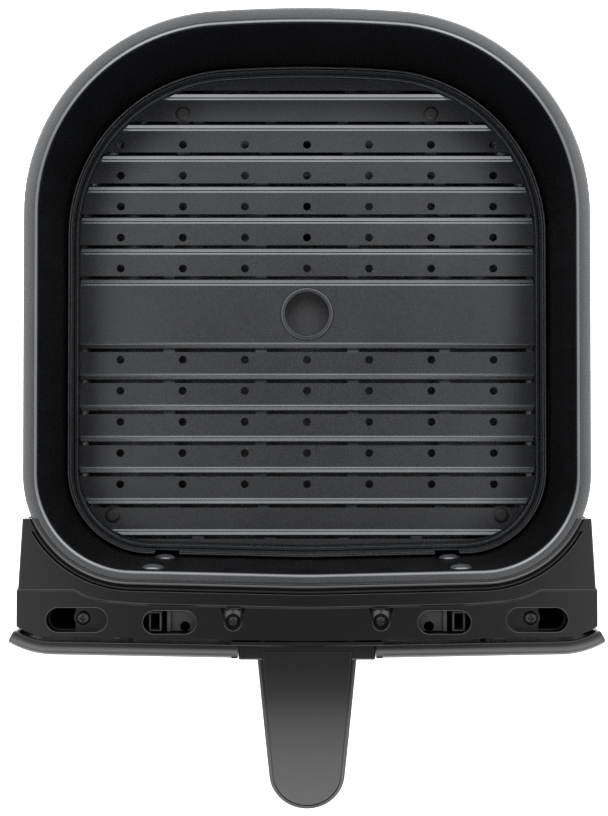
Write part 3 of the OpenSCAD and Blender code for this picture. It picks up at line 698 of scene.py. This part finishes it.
def frontPlan(inset, low, high):
    # slab with the plan of the frame and shell, drawn inward
    bm = bmesh.new()
    place, angle = panelStart(front["panelEnd"], front["panelRound"] - front["frameGap"] - inset)
    first = bm.verts.new(place.translation)
    last = vertsOf(sweep(bm, [first], angle, panelMoves(front["panelEnd"])))[0]
    side = [(front["stepX"] + 0.9 - inset, front["stepY"] - 0.6),
            (front["stepX"] - inset, front["stepY"] + 1.2), (front["earX"] - inset, front["earY"] - inset)]
    corners = side + [(-x, y) for x, y in side[::-1]]
    for x, y in corners:
        vert = bm.verts.new((x, y, 0))
        bm.edges.new((last, vert))
        last = vert
    bm.edges.new((last, first))
    bmesh.ops.contextual_create(bm, geom=bm.edges[:])
    bmesh.ops.translate(bm, vec=(0, 0, low), verts=bm.verts[:])
    made = bmesh.ops.extrude_face_region(bm, geom=bm.faces[:])["geom"]
    bmesh.ops.translate(bm, vec=(0, 0, high - low), verts=vertsOf(made))
    bmesh.ops.recalc_face_normals(bm, faces=bm.faces[:])
    return bm


def slotSolid(slot, levels):
    # a slot with round ends, [outward, height] at each level
    x, y, length, width = slot
    r = width / 2
    reach = length / 2 - r
    bm = bmesh.new()
    geom = drawLine(bm, [(x + reach, y - r - p[0], *p[1:]) for p in levels])
    sweep(bm, geom, 270, [("turn", (x + reach, y), 180, 20), ("run", [2 * reach]),
                          ("turn", (x - reach, y), 180, 20), ("run", [2 * reach])])
    return closeUp(bm)


def lipLevels(low, surface):
    # straight down from a rounded lip at the surface
    return [(0, low), (0, surface, front["lip"]), (front["lip"] + 0.5, surface + 0.02),
            (front["lip"] + 0.5, surface + 6)]


def stepCutter():
    # the lowered front zone, with a sloping step behind it
    back = [(x, bowedY(x, frontBowY, rim["frontBow"] + front["stepGap"], rim["frontSlope"]))
            for x in range(80, -1, -8)]
    bend = [(frontX + x, front["stepY"] - y) for x, y in front["stepBend"]]
    half = [(200, bend[0][1]), *bend, *back]
    line = half + [(-x, y) for x, y in half[::-1] if x > 0]
    bm = bmesh.new()
    points = [(x, y, zoneTop) for x, y in line] + [(-200, -200, zoneTop), (200, -200, zoneTop)]
    drawLine(bm, points, closed=True)
    bmesh.ops.contextual_create(bm, geom=bm.edges[:])
    faces = bm.faces[:]
    for rise, shift in ((0.1, 0.05), (1.24, 1.15), (0.18, 0.3), (4, 0)):
        made = bmesh.ops.extrude_face_region(bm, geom=faces)["geom"]
        bmesh.ops.translate(bm, vec=(0, shift, rise), verts=vertsOf(made))
        if faces[0].calc_center_median().z > zoneTop + 0.01:
            bmesh.ops.delete(bm, geom=faces, context="FACES_ONLY")
        faces = [g for g in made if isinstance(g, bmesh.types.BMFace)]
    bmesh.ops.recalc_face_normals(bm, faces=bm.faces[:])
    return bm


def scoop():
    bm = bmesh.new()
    length = front["scoopBack"] - front["scoopFront"]
    bmesh.ops.create_cone(bm, cap_ends=True, segments=64, radius1=front["scoopWide"],
                          radius2=front["scoopNarrow"], depth=length)
    place = Matrix.Translation((front["screwX"], (front["scoopBack"] + front["scoopFront"]) / 2,
                                zoneTop + front["scoopAxis"]))
    bmesh.ops.transform(bm, matrix=place @ Matrix.Rotation(math.radians(90), 4, "X"), verts=bm.verts[:])
    return bm


def buildFrame():
    bm = frontPlan(0, skirtLow, rim["top"])
    edge = [e for e in bm.edges if all(v.co.z > rim["top"] - 0.01 for v in e.verts)
            and (e.verts[0].co.y < front["earY"] - 0.1 or e.verts[1].co.y < front["earY"] - 0.1)]
    bmesh.ops.bevel(bm, geom=edge, offset=front["edgeRound"], offset_type="OFFSET", segments=3,
                    profile=0.5, affect="EDGES", material=-1)
    bm = combine(bm, [frontPlan(front["wall"], skirtLow - 5, deckLow)], "DIFFERENCE")
    screwSpot = Matrix.Translation((front["screwX"], front["screwY"], 0))
    under = deckLow + 1
    outer = front["outerSlot"]
    bosses = joined(pairOf(lathe([(0, tabTop), (boss, tabTop), (boss, under), (0, under)], 36,
                                  screwSpot)),
                    pairOf(slotSolid((*outer[:2], *[v + front["pocketRim"] for v in outer[2:]]),
                                     [(0, pocketFloor - front["bossFloor"]), (0, under)])))
    bm = combine(bm, [bosses], "UNION")
    grooveCut = rimSolid([(front["grooveOut"], skirtLow - 5), (front["grooveOut"], rim["top"], 0.5),
                          (front["grooveOut"] + 1.5, rim["top"] + 0.02),
                          (front["grooveOut"] + 1.5, rim["top"] + 9)])
    trim(grooveCut, (0, front["grooveEnd"], 0), (0, 1, 0))
    panCut = rimSolid([(front["grooveIn"] - 0.3, skirtLow - 5), (front["grooveIn"] - 0.3, rim["top"] + 9)])
    openEnd = slotSolid(outer, [(-0.3, skirtLow - 5), (-0.3, pocketFloor + 2)])
    trim(openEnd, (front["openFrom"], 0, 0), (-1, 0, 0))
    shellHole = lathe([(0, skirtLow - 5), (screwHole, skirtLow - 5), (screwHole, pocketFloor + 1),
                       (0, pocketFloor + 1)], 24, Matrix.Translation((shellScrewX, outer[1], 0)))
    bore = lathe([(0, seat), (front["counterbore"], seat), (front["counterbore"], zoneTop, front["lip"]),
                  (front["counterbore"] + 1.4, zoneTop + 0.02), (front["counterbore"] + 1.4, zoneTop + 6),
                  (0, zoneTop + 6)], 48, screwSpot)
    shankHole = lathe([(0, skirtLow - 5), (screwHole, skirtLow - 5), (screwHole, seat + 1),
                       (0, seat + 1)], 24, screwSpot)
    tools = [grooveCut, panCut, stepCutter(),
             pairOf(slotSolid(front["innerSlot"], lipLevels(skirtLow - 5, zoneTop))),
             pairOf(slotSolid(outer, lipLevels(pocketFloor, zoneTop))),
             pairOf(openEnd), pairOf(shellHole), pairOf(scoop()), pairOf(bore), pairOf(shankHole)]
    bm = combine(bm, tools, "DIFFERENCE")
    top = rim["top"] + front["collarHeight"]
    gIn = front["grooveIn"]
    collar = frontStrip([(front["grooveOut"] + 0.6, grooveFloor), (gIn, grooveFloor),
                         (gIn, top - 3.4, 0.4),
                         (-0.3, top - 0.5, 0.6), (-1.5, top, 0.3), (-2.1, top - 0.1, 0.2),
                         (-2.4, top - 0.7),
                         (-2.4, rim["top"] + 0.1), (0.2, rim["top"] + 0.1), (0.2, grooveFloor - 2),
                         (front["grooveOut"] + 0.6, grooveFloor - 2)], front["earY"])
    return joined(bm, collar)


finishPiece(buildFrame(), "frontFrame", framePlastic, "drawer",
                         ["front_frame"])
print("front frame made")

sealLow, sealHigh = nodeBox("frame_seal")
sealIn, sealOut = front["grooveIn"] + 0.15, front["grooveOut"] - 0.15
seal = frontStrip([(sealIn, sealLow.z), (sealIn, sealHigh.z, 0.6), (sealOut, sealHigh.z, 0.6),
                   (sealOut, sealLow.z)], sealHigh.y)
finishPiece(seal, "frameSeal", silicone, "drawer", ["frame_seal"])

# ---- shell under the frame ----

shell = {
    "low": 6, "post": (74.7, 3.2, -109, -99), "postRound": 0.5, "postWall": 0.9,
    "rib": (68.1, 1, -109.3, -96.3),
    "shelf": (60.9, 6.3, -109.3, -87.3), "shelfHole": (60.3, -106.9, 2.5), "boss": 5,
}


def buildShell():
    low = shell["low"]
    top = skirtLow - 0.1
    wall = front["wall"]
    bm = frontPlan(0, low, top)
    inner = frontPlan(wall, low + wall, top + 5)
    panRoom = rimSolid([(1.6, low - 5), (1.6, top + 5)])
    bm = combine(bm, [inner, panRoom], "DIFFERENCE")
    wallTop = deckLow - 2.2
    panWall = frontStrip([(0.5, low), (0.5, wallTop), (0.5 + wall, wallTop), (0.5 + wall, low)],
                         front["earY"])
    x, half, back, fore = shell["post"]
    post = block((x - half, back, low + 1), (x + half, fore, deckLow - 1), shell["postRound"])
    edge = shell["postWall"]
    post = combine(post, [block((x - half + edge, back + edge, low + 3),
                                (x + half - edge, fore - edge, deckLow + 1))], "DIFFERENCE")
    x, half, back, fore = shell["rib"]
    rib = block((x - half, back, low + 1), (x + half, fore, deckLow - 3), 0.4, 2)
    x, half, back, fore = shell["shelf"]
    shelf = block((x - half, back, deckLow - 7), (x + half, fore, deckLow - 5), 0.3, 2)
    x, y, r = shell["shelfHole"]
    hole = lathe([(0, low), (r, low), (r, top + 9), (0, top + 9)], 32, Matrix.Translation((x, y, 0)))
    shelf = combine(shelf, [hole], "DIFFERENCE")
    screwPostTop = pocketFloor - front["bossFloor"] - 0.1
    screwPost = lathe([(0, low + 1), (shell["boss"], low + 1), (shell["boss"], screwPostTop),
                       (0, screwPostTop)], 32,
                      Matrix.Translation((shellScrewX, front["outerSlot"][1], 0)))
    tools = [panWall, pairOf(post), pairOf(rib), pairOf(shelf), pairOf(screwPost)]
    return combine(bm, tools, "UNION")


finishPiece(buildShell(), "frameShell", shellPlastic, "drawer", ["frame_shell"])
print("frame shell made")

# ---- screws ----

def screwBody(head, height, shank, length, drive):
    # pan head with a cross recess, seat at the origin
    bm = lathe([(0, height), (head * 0.55, height * 0.98), (head, height * 0.55, height * 0.4),
                (head, 0, 0.15), (shank, 0), (shank, -length + 1), (shank * 0.6, -length),
                (0, -length)], 40)
    bars = [block((-drive, -0.45, height - 1.1), (drive, 0.45, height + 1)),
            block((-0.45, -drive, height - 1.1), (0.45, drive, height + 1))]
    dimple = lathe([(0, height - 1.3), (0.5, height - 1.3), (1.25, height + 0.2), (0, height + 0.2)], 24)
    return combine(bm, [*bars, dimple], "DIFFERENCE")


screwRows = {
    "frameScrews": ("frame_screws", 3.1, 2.2, 1.7, 9,
                    [Matrix.Translation((s * front["screwX"], front["screwY"], seat)) for s in (-1, 1)]),
    "shellScrews": ("shell_screws", 3.5, 2.2, 1.7, 13,
                    [Matrix.Translation((s * shellScrewX, front["outerSlot"][1], pocketFloor))
                     for s in (-1, 1)]),
}
for name, (node, head, height, shank, length, places) in screwRows.items():
    one = screwBody(head, height, shank, length, 1.6)
    finishPiece(joined(*[copyOf(one, place) for place in places]), name, blackOxide,
                "drawer", [node])
    one.free()
print("screws made")

# ---- front panel ----

panelLow, panelHigh = nodeBox("front_panel")
panel = {
    "edge": 7.2, "wall": 2.6, "lowLip": 1.6, "topRound": 5, "lowRound": 6, "rearRound": 0.5,
    "endRound": 0.8,
    "notchHalf": 34, "notchLow": 65.5, "pocketDepth": 7, "pocketWall": 1.9,
}


def panelSweep(section, ends):
    bm = bmesh.new()
    geom = drawLine(bm, [(p[0], 0, *p[1:]) for p in section], closed=True)
    place, angle = panelStart(ends, front["panelRound"])
    sweep(bm, moved(bm, geom, place), angle, panelMoves(ends))
    return closeUp(bm)


def buildPanel():
    low, top, edge, wall = panelLow.z, panelHigh.z, panel["edge"], panel["wall"]
    bm = panelSweep([(-edge - panel["lowLip"], low, 0.6), (0, low, panel["lowRound"]),
                     (0, top, panel["topRound"]),
                     (-edge, top, panel["rearRound"]), (-edge, low + 2 * wall),
                     (-edge - panel["lowLip"], low + wall)], front["panelEnd"])
    caps = [f for f in bm.faces if len(f.verts) > 8]
    bmesh.ops.bevel(bm, geom=list({e for f in caps for e in f.edges}), offset=panel["endRound"],
                    offset_type="OFFSET", segments=3, profile=0.5, affect="EDGES", material=-1)
    hollow = panelSweep([(-edge - 3, low + wall), (-wall, low + wall, panel["lowRound"] - wall),
                         (-wall, top - wall, panel["topRound"] - wall), (-edge - 3, top - wall)],
                        front["panelEnd"] - 3)
    bm = combine(bm, [hollow], "DIFFERENCE")
    back = panelFace + panel["pocketDepth"]
    half, floor = panel["notchHalf"], panel["notchLow"]
    tray = block((-half - 3, panelFace + 1, floor - 3.5),
                 (half + 3, back + panel["pocketWall"], top - 0.4))
    room = block((-half, panelFace - 10, floor), (half, back, top + 20))
    bm = combine(bm, [tray], "UNION")
    return combine(bm, [room], "DIFFERENCE")


finishPiece(buildPanel(), "frontPanel", panelPlastic, "drawer", ["front_panel"])
print("front panel made")

# ---- handle ----

handle = {
    "rootHalf": 24.6, "endRound": 18.8, "tip": handleLow.y, "archRound": 250, "top": 107,
    "baseHalf": handleHigh.x, "baseLow": handleLow.z, "baseRound": 0.9,
    "split": 8, "depth": 20, "lowerRound": 548, "wall": 2.2, "edgeRound": 1.3, "underRound": 3.5,
    "trimInset": 2.15, "trimRoom": 1.75, "trim": 1.2, "trimBack": 4.2,
    "trimGap": 0.35, "topWall": 3.4, "rowStep": 3, "screws": (-142, -172),
}
baseBack = handleHigh.y
baseFront = baseBack - 7
endY = handle["tip"] + handle["endRound"]
archY = baseFront - 2


def archTop(y):
    r = handle["archRound"]
    return handle["top"] - r + math.sqrt(r ** 2 - (y - archY) ** 2)


def underside(y):
    r = handle["lowerRound"]
    return handle["top"] - handle["depth"] - r + math.sqrt(r ** 2 - (y - archY) ** 2)


def tongue(inset, rootY, low, high):
    # slab with the handle's plan, before it is arched
    half = handle["rootHalf"] - inset
    r = handle["endRound"] - inset
    reach = baseFront - endY
    lean = math.degrees(math.atan2(reach, half) - math.acos(r / math.hypot(half, reach)))
    bm = bmesh.new()
    start = 180 - lean
    first = bm.verts.new((r * cosOf(start), endY + r * sinOf(start), low))
    last = vertsOf(sweep(bm, [first], start, [("turn", (0, endY), 180 + 2 * lean, 48)]))[0]
    half += (rootY - baseFront) * math.tan(math.radians(lean))
    right, left = bm.verts.new((half, rootY, low)), bm.verts.new((-half, rootY, low))
    for pair in ((last, right), (right, left), (left, first)):
        bm.edges.new(pair)
    bmesh.ops.contextual_create(bm, geom=bm.edges[:])
    made = bmesh.ops.extrude_face_region(bm, geom=bm.faces[:])["geom"]
    bmesh.ops.translate(bm, vec=(0, 0, high - low), verts=vertsOf(made))
    bmesh.ops.recalc_face_normals(bm, faces=bm.faces[:])
    return bm


def roundEdge(bm, height, amount, segments=4):
    edges = [e for e in bm.edges if all(abs(v.co.z - height) < 0.01 for v in e.verts)]
    bmesh.ops.bevel(bm, geom=edges, offset=amount, offset_type="OFFSET", segments=segments,
                    profile=0.5, affect="EDGES", material=-1)


def hollowBelow(bm, inset, depth):
    # insets the flat bottom and moves its middle up by the depth
    face = max((f for f in bm.faces if f.normal.z < -0.99), key=lambda f: f.calc_area())
    bmesh.ops.inset_region(bm, faces=[face], thickness=inset, use_even_offset=True)
    made = bmesh.ops.extrude_discrete_faces(bm, faces=[face])["faces"]
    bmesh.ops.translate(bm, vec=(0, 0, depth), verts=list({v for f in made for v in f.verts}))


def arched(bm, shape):
    # cuts rows across the slab and gives each vertex its height
    y = baseFront + 3
    while y > handle["tip"]:
        bmesh.ops.bisect_plane(bm, geom=bm.verts[:] + bm.edges[:] + bm.faces[:], dist=0.01,
                               plane_co=(0, y, 0), plane_no=(0, 1, 0))
        y -= handle["rowStep"]
    for vert in bm.verts:
        vert.co.z = shape(vert.co.y, vert.co.z)
    return bm


def upperShape(y, z):
    return archTop(y) + z


def lowerShape(y, z):
    # z runs from -split at the seam to -depth at the underside
    seam = archTop(y) - handle["split"]
    share = (-handle["split"] - z) / (handle["depth"] - handle["split"])
    return seam - share * (seam - underside(y))


upper = tongue(0, baseFront + 1, -handle["split"], 0)
roundEdge(upper, 0, handle["edgeRound"])
roundEdge(upper, -handle["split"], 0.3, 2)
hollowBelow(upper, handle["wall"], handle["split"] - handle["topWall"])
base = block((-handle["baseHalf"], baseFront, handle["baseLow"]),
             (handle["baseHalf"], baseBack, handle["top"]), handle["baseRound"])
upper = combine(arched(upper, upperShape), [base], "UNION")
trimBack = baseFront + handle["trimBack"]
recess = tongue(handle["trimRoom"], trimBack + handle["trimGap"], -handle["trim"] - 0.1, 6)
upper = combine(upper, [arched(recess, upperShape)], "DIFFERENCE")
finishPiece(upper, "handleUpperShell", handlePlastic, "drawer", ["handle_upper"])

inlay = tongue(handle["trimInset"], trimBack, -handle["trim"], 0)
roundEdge(inlay, 0, 0.3, 3)
finishPiece(arched(inlay, upperShape), "handleInlay", trimPlastic, "drawer",
            ["handle_panel"])

lower = tongue(0, baseFront - 0.1, -handle["depth"], -handle["split"] - 0.1)
roundEdge(lower, -handle["depth"], handle["underRound"], 5)
roundEdge(lower, -handle["split"] - 0.1, 0.3, 2)
screwSeats = joined(*[lathe([(0, -9), (3.3, -9), (3.3, 2), (0, 2)], 36,
                            Matrix.Translation((0, y, underside(y)))) for y in handle["screws"]])
lower = combine(arched(lower, lowerShape), [screwSeats], "DIFFERENCE")
finishPiece(lower, "handleLowerShell", handlePlastic, "drawer", ["handle_lower"])

one = screwBody(3, 1.8, 1.4, 6, 1.4)
flip = Matrix.Rotation(math.pi, 4, "X")
finishPiece(joined(*[copyOf(one, Matrix.Translation((0, y, underside(y) + 2)) @ flip)
                     for y in handle["screws"]]),
            "handleShellScrews", blackOxide, "drawer", ["handle_shell_screws"])
one.free()
print("handle made")

# ---- frame parts that keep their own mesh ----

for node, material in (("pan_bracket", bracketSteel), ("panel_screws", zincSteel),
                       ("handle_base_screws", zincSteel)):
    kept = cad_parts[node]
    kept.data.materials.clear()
    kept.data.materials.append(material)

# ---- floor, light and camera ----

studio = {
    "floorHalf": 3.0, "floorColour": "#f4f4f4", "floorGlow": 0.7, "floorGap": 0.0003,
    # each glow is where it starts and is full, along its axis of the sky, and its strength
    "overhead": 0.1, "sideGlow": (0.12, 0.26, 1.6), "frontGlow": (-0.15, -0.8, 2.6),
    "rearGlow": (0.1, 0.5, 1.8), "horizon": 0.3, "highSky": 0.5,
    "lens": 66.2, "cameraHeight": 0.845, "cameraY": -0.0133, "aimY": 0.0009, "aimZ": 0.110,
    "shiftX": -3 / 816,
}

floorMesh = bmesh.new()
bmesh.ops.create_grid(floorMesh, x_segments=1, y_segments=1, size=studio["floorHalf"])
bmesh.ops.translate(floorMesh, vec=(0, 0, -studio["floorGap"]), verts=floorMesh.verts[:])
floor = tempObject(floorMesh)
floor.name = "floor"
paper, _, shader, _ = newMaterial("seamlessPaper")   # matt white paper, lit from below
shader.inputs["Base Color"].default_value = fromHex(studio["floorColour"])
shader.inputs["Roughness"].default_value = 0.9
shader.inputs["Emission Color"].default_value = (1, 1, 1, 1)
shader.inputs["Emission Strength"].default_value = studio["floorGlow"]
floor.data.materials.append(paper)

# Dim overhead, with a glow that rises toward each side, the front and the rear
world = bpy.data.worlds.new("tent")
bpy.context.scene.world = world
world.use_nodes = True
sky = world.node_tree
heading = addNode(sky, "ShaderNodeTexCoord").outputs["Generated"]
ways = addNode(sky, "ShaderNodeSeparateXYZ", None, {"Vector": heading}).outputs
level = addNode(sky, "ShaderNodeValue").outputs["Value"]
level.default_value = studio["overhead"]
sideways = addNode(sky, "ShaderNodeMath", {"operation": "ABSOLUTE"}, {0: ways["X"]}).outputs["Value"]
for source, (start, full, strength) in ((sideways, studio["sideGlow"]), (ways["Y"], studio["frontGlow"]),
                                        (ways["Y"], studio["rearGlow"])):
    glow = addNode(sky, "ShaderNodeMapRange", {"interpolation_type": "SMOOTHSTEP", "From Min": start,
                                               "From Max": full, "To Max": strength}, {"Value": source})
    level = addNode(sky, "ShaderNodeMath", {"operation": "ADD"},
                    {0: level, 1: glow.outputs["Result"]}).outputs["Value"]
low = addNode(sky, "ShaderNodeMapRange", {"From Min": 0.0, "From Max": studio["highSky"],
                                          "To Min": studio["horizon"], "To Max": 1.0},
              {"Value": ways["Z"]})
level = addNode(sky, "ShaderNodeMath", {"operation": "MULTIPLY"}, {0: level, 1: low.outputs["Result"]})
sky.links.new(level.outputs["Value"], sky.nodes["Background"].inputs["Strength"])
sky.nodes["Background"].inputs["Color"].default_value = (1, 1, 1, 1)

softboxes = {
    "frontBox": ((0, -1.15, 1.45), 1.0, 3),    # place, side and power in watts
    "rearBox": ((0, 1.30, 1.15), 1.0, 3),
}
for name, (spot, side, power) in softboxes.items():
    light = bpy.data.lights.new(name, "AREA")
    light.size = side
    light.energy = power
    box = bpy.data.objects.new(name, light)
    bpy.context.collection.objects.link(box)
    box.location = spot
    box.rotation_euler = (-Vector(spot)).to_track_quat("-Z", "Y").to_euler()

cameraData = bpy.data.cameras.new("camera")
cameraData.lens = studio["lens"]
cameraData.shift_x = studio["shiftX"]
camera = bpy.data.objects.new("camera", cameraData)
bpy.context.collection.objects.link(camera)
camera.location = (0, studio["cameraY"], studio["cameraHeight"])
aim = Vector((0, studio["aimY"], studio["aimZ"])) - camera.location
camera.rotation_euler = aim.to_track_quat("-Z", "Y").to_euler()
bpy.context.scene.camera = camera
bpy.context.scene.view_settings.view_transform = "Standard"
print("studio ready")

bpy.context.view_layer.update()
